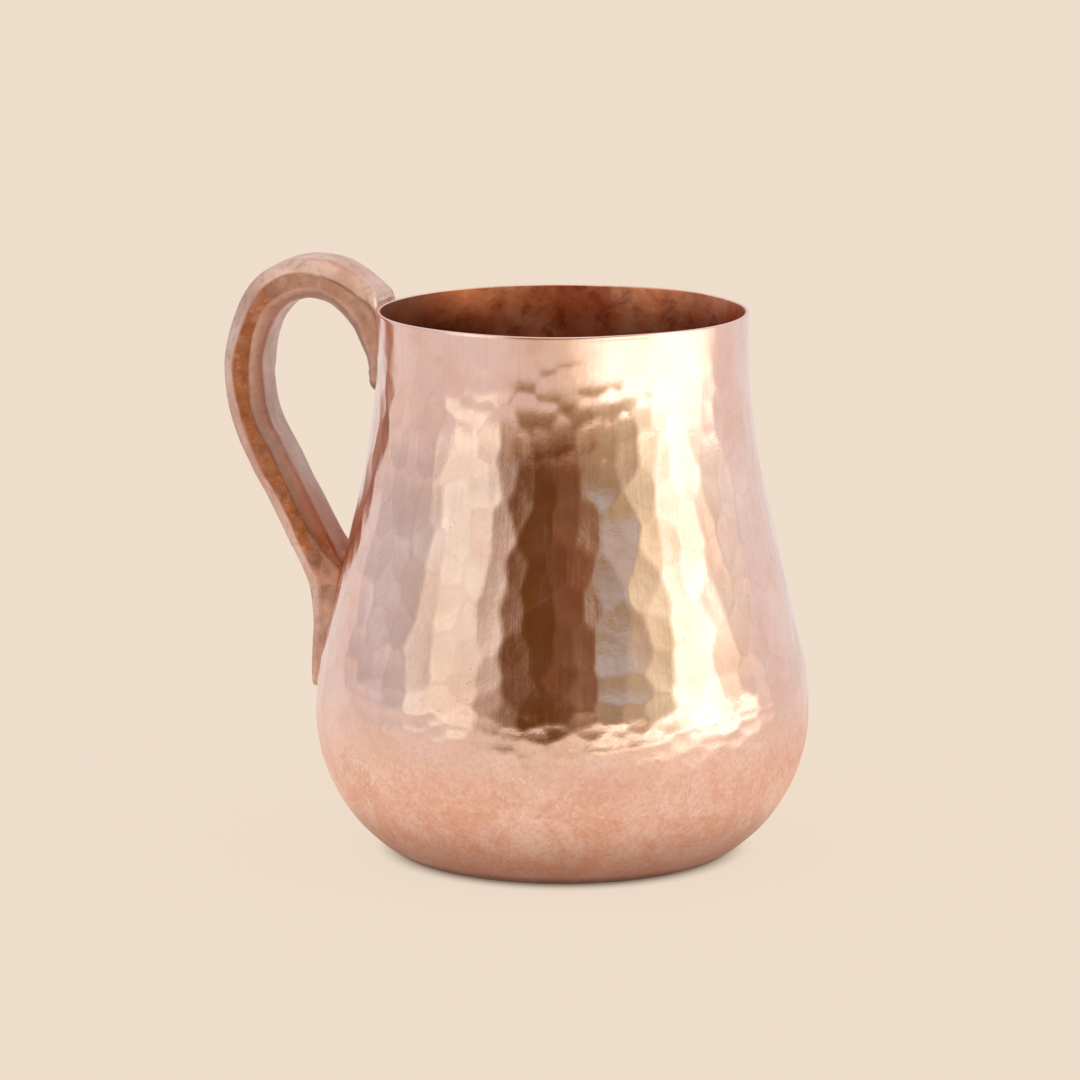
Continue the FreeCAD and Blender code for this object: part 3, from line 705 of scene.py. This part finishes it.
def inner_copper():
    """The stained, unpolished inside, with painted shade low down and on the handle's side."""
    material, nodes, shader = new_metal("copper_inside_satin")
    spot, around, z = places(nodes)
    clouds = nodes.noise(spot, 42, 6, 0.6, 0.5)
    colour = nodes.ramp(nodes.remap(clouds, 0.32, 0.7), [
        (0.0, (0.50, 0.115, 0.040)), (0.5, (0.78, 0.26, 0.12)), (1.0, (0.92, 0.48, 0.30))])
    rings = nodes.noise(nodes.vector(nodes.times(around, 0.35), 0.0, z), 420, 3, 0.6)
    colour = nodes.mix(nodes.remap(rings, 0.5, 0.75, 0.0, 0.35), colour, (0.55, 0.18, 0.08))
    stains = nodes.noise(spot, 210, 6, 0.72, 0.6)
    colour = nodes.mix(nodes.remap(stains, 0.50, 0.62, 0.0, 0.6), colour, (0.36, 0.09, 0.04))
    colour = nodes.mix(nodes.remap(stains, 0.42, 0.32, 0.0, 0.45), colour, (0.94, 0.54, 0.37))
    # painted shade, deeper down inside the vessel
    deep = nodes.remap(z, 0.103, 0.060, 0.0, 0.7)
    colour = nodes.mix(deep, colour, (0.46, 0.11, 0.042))
    apart = nodes.add("ShaderNodeSeparateXYZ")
    nodes.link(spot, apart.inputs[0])
    # painted shade on the handle's side of the inside
    handle_side_shade = nodes.remap(apart.outputs[0], -0.016, -0.034, 0.0, 0.85)
    colour = nodes.mix(handle_side_shade, colour, (0.22, 0.065, 0.028))
    nodes.link(colour, shader.inputs["Base Color"])
    nodes.link(nodes.remap(clouds, 0.3, 0.7, 0.30, 0.46), shader.inputs["Roughness"])
    normal = nodes.bump(rings, 0.00008, 0.5)
    normal = nodes.bump(nodes.noise(spot, 150, 3), 0.0003, 0.4, normal)
    nodes.link(normal, shader.inputs["Normal"])
    return material


def forged_copper():
    """Satin forged copper: brown patina on the side faces, partly painted shade of the dark room they
    face;
    painted shade on the lower inner face and at the two ends, and a painted pale reflection on the
    other inner faces.
    """
    material, nodes, shader = new_metal("copper_forged_satin")
    spot = nodes.add("ShaderNodeTexCoord").outputs["Object"]
    side = nodes.add("ShaderNodeAttribute", attribute_name="side_face").outputs["Fac"]
    inner = nodes.add("ShaderNodeAttribute", attribute_name="inner_face").outputs["Fac"]
    down = nodes.add("ShaderNodeAttribute", attribute_name="down").outputs["Fac"]
    tone = nodes.noise(spot, 75, 5, 0.6)
    colour = nodes.ramp(nodes.remap(tone, 0.32, 0.7), [
        (0.0, (0.66, 0.37, 0.28)), (0.5, (0.80, 0.52, 0.42)), (1.0, (0.88, 0.64, 0.55))])
    patina = nodes.noise(spot, 130, 5, 0.6, 0.3)
    # the lower strap's inner face, which faces the wall, is painted shade; the side faces' brown is
    # patina and also painted shade of the dark room they face
    low_strap = nodes.times(inner, nodes.remap(down, 0.64, 0.78))
    patina_and_shade = nodes.math("ADD", side, low_strap, True)
    brown = nodes.times(nodes.remap(patina, 0.30, 0.52, 0.6, 1.0), patina_and_shade, True)
    brown = nodes.times(brown, nodes.remap(down, 0.12, 0.36, 0.4, 1.0))
    brown = nodes.times(brown, nodes.remap(down, 0.86, 0.76, 0.2, 1.0))
    colour = nodes.mix(brown, colour, (0.48, 0.165, 0.064))
    # painted shade darkens the lower strap's inner face further
    colour = nodes.mix(nodes.times(low_strap, 0.7), colour, (0.40, 0.14, 0.06))
    spots = nodes.noise(spot, 330, 5, 0.62)
    more = nodes.times(side, nodes.remap(down, 0.25, 0.75, 0.4, 1.0))
    more = nodes.times(more, nodes.remap(down, 0.90, 0.78, 0.15, 1.0))
    dark = nodes.times(nodes.remap(spots, 0.48, 0.66), more, True)
    colour = nodes.mix(nodes.times(dark, 0.75), colour, (0.26, 0.09, 0.045))
    glint = nodes.times(nodes.remap(spots, 0.42, 0.32), side, True)
    colour = nodes.mix(nodes.times(glint, 0.6), colour, (0.78, 0.38, 0.19))
    # painted reflection: the other inner faces take a pale grey-pink, as of the pale room
    plain = nodes.math("SUBTRACT", inner, low_strap, True)
    colour = nodes.mix(nodes.times(plain, 0.55), colour, (0.47, 0.32, 0.28))
    wear = nodes.noise(spot, 480, 4, 0.7)
    colour = nodes.mix(nodes.remap(wear, 0.50, 0.66, 0.0, 0.5), colour, (0.48, 0.27, 0.20))
    colour = nodes.mix(nodes.remap(wear, 0.42, 0.30, 0.0, 0.24), colour, (0.95, 0.72, 0.62))
    # painted shade at the two ends, where the tongues lie on the wall
    ends = nodes.math("ADD", nodes.remap(down, 0.035, 0.0), nodes.remap(down, 0.965, 1.0), True)
    end_shade = nodes.times(ends, nodes.remap(patina, 0.38, 0.56), True)
    colour = nodes.mix(nodes.times(end_shade, 0.6), colour, (0.20, 0.16, 0.15))
    nodes.link(colour, shader.inputs["Base Color"])
    rough = nodes.remap(patina, 0.3, 0.7, 0.36, 0.52)
    rough = nodes.math("ADD", rough, nodes.times(dark, 0.15), True)
    nodes.link(rough, shader.inputs["Roughness"])
    normal = nodes.bump(nodes.noise(spot, 260, 4, 0.6), 0.00026, 0.6)
    normal = nodes.bump(wear, 0.00012, 0.6, normal)
    normal = nodes.bump(nodes.noise(spot, 1500, 3, 0.6), 0.00005, 0.5, normal)
    nodes.link(normal, shader.inputs["Normal"])
    return material


def rivet_copper():
    """Peened rivet heads, a little brighter than the strap."""
    material, nodes, shader = new_metal("copper_rivet")
    spot = nodes.add("ShaderNodeTexCoord").outputs["Object"]
    tone = nodes.noise(spot, 420, 4, 0.6)
    colour = nodes.ramp(nodes.remap(tone, 0.35, 0.68), [
        (0.0, (0.50, 0.24, 0.16)), (0.5, (0.76, 0.46, 0.35)), (1.0, (0.86, 0.60, 0.50))])
    nodes.link(colour, shader.inputs["Base Color"])
    nodes.link(nodes.remap(tone, 0.3, 0.7, 0.38, 0.26), shader.inputs["Roughness"])
    nodes.link(nodes.bump(nodes.noise(spot, 1100, 3), 0.00008, 0.5), shader.inputs["Normal"])
    return material


vessel = build_vessel()
vessel.data.materials.append(outer_copper())
vessel.data.materials.append(inner_copper())
handle = build_handle()
handle.data.materials.append(forged_copper())
rivet_material = rivet_copper()
for number, (name, *setting) in enumerate((
        ("rivet_neck_front", 95.2, 4.8, 1.62, 3.5), ("rivet_neck_back", 95.2, -4.8, 1.62, 3.5),
        ("rivet_belly_upper", 40.8, 0.0, 3.4, 2.6), ("rivet_belly_lower", 34.6, 0.0, 2.42, 2.6))):
    build_rivet(name, *setting, number).data.materials.append(rivet_material)

# ---------------------------------------------------------------- floor, room and light
CREAM = (0.871, 0.737, 0.604)
VIEW_TURN = 15.0
VIEW_RISE = 11.06
PAPER_SHARE = 0.08  # how much of the table takes shadows; the rest glows evenly


def view_axes(nodes, spot):
    """How far a place lies to the front view's right and towards its camera."""
    apart = nodes.add("ShaderNodeSeparateXYZ")
    nodes.link(spot, apart.inputs[0])
    x, y = apart.outputs[0], apart.outputs[1]
    turn = math.radians(VIEW_TURN)
    forward = nodes.math("ADD", nodes.times(x, math.sin(turn)),
                         nodes.times(y, -math.cos(turn)))
    right = nodes.math("ADD", nodes.times(x, math.cos(turn)),
                       nodes.times(y, math.sin(turn)))
    return right, forward


def build_floor():
    """The plain cream table. The camera sees it bare but for a painted contact shadow round the foot;
    the copper mirrors it with painted light and shade, as the room would light it."""
    front, back, half = 1.5, 6.0, 5.0
    turn = math.radians(VIEW_TURN)
    toward = Vector((math.sin(turn), -math.cos(turn), 0))
    aside = Vector((math.cos(turn), math.sin(turn), 0))
    corners = [toward * front - aside * half, toward * front + aside * half,
               -toward * back + aside * half, -toward * back - aside * half]
    mesh = bpy.data.meshes.new("floor")
    mesh.from_pydata([tuple(c) for c in corners], [], [(0, 1, 2, 3)])
    floor = bpy.data.objects.new("floor", mesh)
    bpy.context.scene.collection.objects.link(floor)
    material = bpy.data.materials.new("pale_board")
    material.use_nodes = True
    tree = material.node_tree
    tree.nodes.clear()
    nodes = Nodes(tree)
    spot = nodes.add("ShaderNodeTexCoord").outputs["Object"]
    right, forward = view_axes(nodes, spot)
    bearing = nodes.math("ARCTAN2", right, forward)
    reach = nodes.math("SQRT", nodes.math("ADD", nodes.times(right, right),
                                          nodes.times(forward, forward)))
    grain = nodes.noise(spot, 300, 4, 0.6)
    board = nodes.mix(nodes.remap(grain, 0.3, 0.7, 0.0, 0.03), CREAM, (0.80, 0.66, 0.53))
    # painted contact shadow round the foot
    contact_shadow = nodes.remap(reach, 0.0385, 0.033)
    seen = nodes.mix(nodes.times(nodes.times(contact_shadow, contact_shadow), 0.8), board, (0.16, 0.09, 0.06))
    # what the copper mirrors: the table is whiter far away and golden in front, the window lights a
    # patch of it on the right, and hardly any light gets in under the belly, where the foot touches
    mirrored = nodes.mix(nodes.remap(reach, 0.05, 0.30), (0.92, 0.79, 0.68), (0.82, 0.81, 0.82))
    golden = nodes.times(nodes.fade(bearing, -48, -18), nodes.fade(bearing, 75, 45))
    golden = nodes.times(golden, nodes.remap(reach, 0.14, 0.26), True)
    mirrored = nodes.mix(golden, mirrored, (0.88, 0.77, 0.55))
    rise = nodes.fade(bearing, 2, 30)
    fall = nodes.fade(bearing, 108, 92)
    patch = nodes.times(nodes.times(rise, fall), nodes.remap(reach, 0.24, 0.42))
    mirrored = nodes.mix(patch, mirrored, (2.1, 2.05, 1.9))
    left = nodes.times(nodes.fade(bearing, 16, -8), nodes.fade(bearing, -112, -95))
    left = nodes.times(left, nodes.remap(reach, 0.26, 0.45, 0.0, 0.8), True)
    mirrored = nodes.mix(left, mirrored, (0.74, 0.70, 0.70))
    under = nodes.remap(reach, 0.058, 0.032, 0.0, 0.8)
    mirrored = nodes.mix(under, mirrored, (0.20, 0.10, 0.06))
    path = nodes.add("ShaderNodeLightPath")
    shade = nodes.mix(path.outputs["Is Camera Ray"], mirrored, seen)
    glow = nodes.add("ShaderNodeEmission")
    nodes.link(shade, glow.inputs["Color"])
    paper = nodes.add("ShaderNodeBsdfDiffuse")
    nodes.link(seen, paper.inputs["Color"])
    both = nodes.add("ShaderNodeMixShader")
    both.inputs[0].default_value = PAPER_SHARE
    nodes.link(glow.outputs[0], both.inputs[1])
    nodes.link(paper.outputs[0], both.inputs[2])
    out = nodes.add("ShaderNodeOutputMaterial")
    nodes.link(both.outputs[0], out.inputs["Surface"])
    mesh.materials.append(material)


def build_room():
    """The room that the polished copper mirrors: a window-like softbox on the right, a pale wall on
    the left, the unlit room behind the camera and a pale ceiling."""
    world = bpy.data.worlds.new("room")
    bpy.context.scene.world = world
    world.use_nodes = True
    tree = world.node_tree
    tree.nodes.clear()
    nodes = Nodes(tree)
    way = nodes.add("ShaderNodeTexCoord").outputs["Generated"]
    right, forward = view_axes(nodes, way)
    # angle to the right of the direction from the object to the camera
    bearing = nodes.remap(nodes.math("ARCTAN2", right, forward), -math.pi, math.pi)
    apart = nodes.add("ShaderNodeSeparateXYZ")
    nodes.link(way, apart.inputs[0])
    level = nodes.math("ARCSINE", apart.outputs[2])

    def at(degrees):
        return (degrees + 180) / 360

    walls = nodes.ramp(bearing, [
        (at(-180), (0.82, 0.82, 0.86)), (at(180), (0.82, 0.82, 0.86)),
        (at(-130), (0.76, 0.77, 0.83)), (at(-108), (0.64, 0.66, 0.71)),
        (at(-92), (0.67, 0.68, 0.71)), (at(-82), (0.75, 0.76, 0.77)),
        (at(-70), (0.99, 1.06, 1.02)), (at(-59), (1.16, 1.28, 1.18)),
        (at(-42), (1.06, 1.08, 1.00)), (at(-35), (0.66, 0.60, 0.52)),
        (at(-26), (0.30, 0.19, 0.12)), (at(-20), (0.15, 0.060, 0.016)),
        (at(-3), (0.14, 0.055, 0.013)), (at(1), (0.25, 0.115, 0.055)),
        (at(12), (0.28, 0.14, 0.07)), (at(17), (0.44, 0.36, 0.21)),
        (at(30), (0.50, 0.42, 0.25)), (at(41), (0.58, 0.50, 0.34)),
        (at(46), (0.96, 0.96, 0.70)), (at(54), (1.10, 1.14, 0.88)),
        (at(62), (1.95, 1.98, 1.80)), (at(78), (2.05, 2.08, 1.95)),
        (at(86), (1.15, 1.14, 0.96)), (at(98), (0.97, 0.97, 0.90)),
        (at(112), (0.84, 0.86, 0.88)), (at(135), (0.82, 0.84, 0.88))])
    # a grey-blue pane above the olive part, and slow unevenness everywhere
    pane_side = nodes.times(nodes.remap(bearing, at(14), at(20)),
                            nodes.remap(bearing, at(44), at(38)))
    pane = nodes.times(pane_side, nodes.fade(level, 11, 14), True)
    walls = nodes.mix(nodes.times(pane, 0.85), walls, (0.52, 0.58, 0.62))
    clutter = nodes.noise(nodes.vector(nodes.times(bearing, 16.0), level, 0.0), 2.4, 4, 0.65)
    walls = nodes.mix(1.0, walls, nodes.ramp(clutter, [(0.32, 0.74), (0.68, 1.22)]), "MULTIPLY")
    # the walls are a little brighter higher up, which lets each hammer mark shade from foot to head
    upward = nodes.ramp(nodes.fade(level, -2, 28), [(0.0, 1.1), (0.35, 0.84), (1.0, 1.15)])
    walls = nodes.mix(1.0, walls, upward, "MULTIPLY")
    # light from the table brightens the foot of the dark doorway
    threshold = nodes.times(nodes.remap(bearing, at(-40), at(-28)),
                            nodes.remap(bearing, at(46), at(30)))
    threshold = nodes.times(threshold, nodes.fade(level, 5, -4))
    walls = nodes.mix(nodes.times(threshold, 0.85), walls, (0.50, 0.36, 0.20))
    ceiling = nodes.fade(level, 32, 50)
    # overhead, a grey ring round a skylight, which the hammer marks break up in views from above
    above = nodes.mix(nodes.fade(level, 54, 64), (0.92, 0.86, 0.79), (0.60, 0.53, 0.48))
    above = nodes.mix(nodes.fade(level, 71, 77), above, (1.45, 1.40, 1.30))
    room = nodes.mix(ceiling, walls, above)
    floor_far = nodes.fade(level, -4, -12)
    room = nodes.mix(floor_far, room, (0.30, 0.25, 0.21))
    lit = nodes.add("ShaderNodeBackground")
    nodes.link(room, lit.inputs["Color"])
    plain = nodes.add("ShaderNodeBackground")
    plain.inputs["Color"].default_value = (*CREAM, 1)
    path = nodes.add("ShaderNodeLightPath")
    both = nodes.add("ShaderNodeMixShader")
    nodes.link(path.outputs["Is Camera Ray"], both.inputs[0])
    nodes.link(lit.outputs[0], both.inputs[1])
    nodes.link(plain.outputs[0], both.inputs[2])
    out = nodes.add("ShaderNodeOutputWorld")
    nodes.link(both.outputs[0], out.inputs["Surface"])


def build_camera():
    """A long lens a metre away; the aim is a little off the middle to leave room for the handle."""
    turn, rise = math.radians(VIEW_TURN), math.radians(VIEW_RISE)
    back = Vector((math.sin(turn) * math.cos(rise), -math.cos(turn) * math.cos(rise), math.sin(rise)))
    right = Vector((math.cos(turn), math.sin(turn), 0))
    up = back.cross(right)
    middle = Vector((0, 0, 0.058))
    place = middle + back
    aim = middle - right * 0.0045 + up * 0.00438
    data = bpy.data.cameras.new("camera")
    data.lens, data.sensor_width = 166.7, 36
    data.clip_start, data.clip_end = 0.05, 50
    camera = bpy.data.objects.new("camera", data)
    bpy.context.scene.collection.objects.link(camera)
    camera.location = place
    camera.rotation_mode = "QUATERNION"
    camera.rotation_quaternion = (aim - place).to_track_quat("-Z", "Y")
    bpy.context.scene.camera = camera


build_floor()
build_room()
build_camera()
bpy.context.scene.view_settings.view_transform = "Standard"
